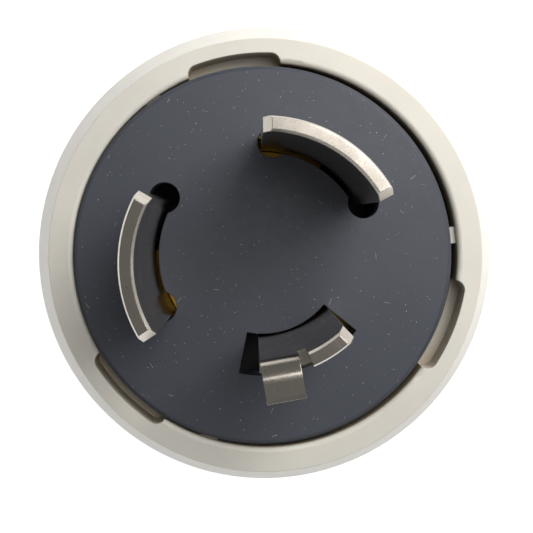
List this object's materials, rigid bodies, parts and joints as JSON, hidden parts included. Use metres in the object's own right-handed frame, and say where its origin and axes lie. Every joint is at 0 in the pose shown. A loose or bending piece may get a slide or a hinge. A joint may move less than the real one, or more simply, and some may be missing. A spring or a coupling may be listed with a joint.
{
  "type": "locking power plug",
  "caption": "Round locking power plug with curved blades and a hooked ground blade on an insulating face, ribbed housing and two-jaw cord clamp.",
  "frame": {"origin": "centre of the object's footprint, at the clamp jaws' rear faces on which the plug stands", "axes": "+Z along the plug's axis from the cord end to the blade tips; +Y towards the recess at the top of the ring"},
  "size_m": [0.0578, 0.0578, 0.094],
  "materials": {
    "housing_nylon": "ivory moulded nylon",
    "insert_nylon": "dark grey moulded nylon, satin",
    "carrier_nylon": "black moulded nylon",
    "jaw_nylon": "black moulded nylon",
    "blade_nickel": "nickel plate over brass sheet",
    "terminal_brass": "bright brass",
    "plate_steel": "zinc plated steel",
    "screw_steel": "zinc plated steel",
    "screw_brass": "brass",
    "screw_green": "green dyed steel"
  },
  "bodies": {
    "root": {"housing": "housing_nylon", "face_insert": "insert_nylon", "terminal_carrier": "carrier_nylon", "line_blade_x": "blade_nickel", "line_blade_y": "blade_nickel", "ground_blade": "blade_nickel", "line_terminal_x": "terminal_brass", "line_terminal_y": "terminal_brass", "ground_terminal": "terminal_brass", "pressure_plate_x": "plate_steel", "pressure_plate_y": "plate_steel", "pressure_plate_ground": "plate_steel", "line_terminal_screws": "screw_brass", "ground_terminal_screw": "screw_green", "assembly_screws": "screw_steel", "threaded_inserts": "terminal_brass", "clamp_jaw_plain": "jaw_nylon", "clamp_jaw_nutted": "jaw_nylon", "clamp_screws": "screw_steel", "clamp_nuts": "screw_steel"}
  },
  "joints": []
}
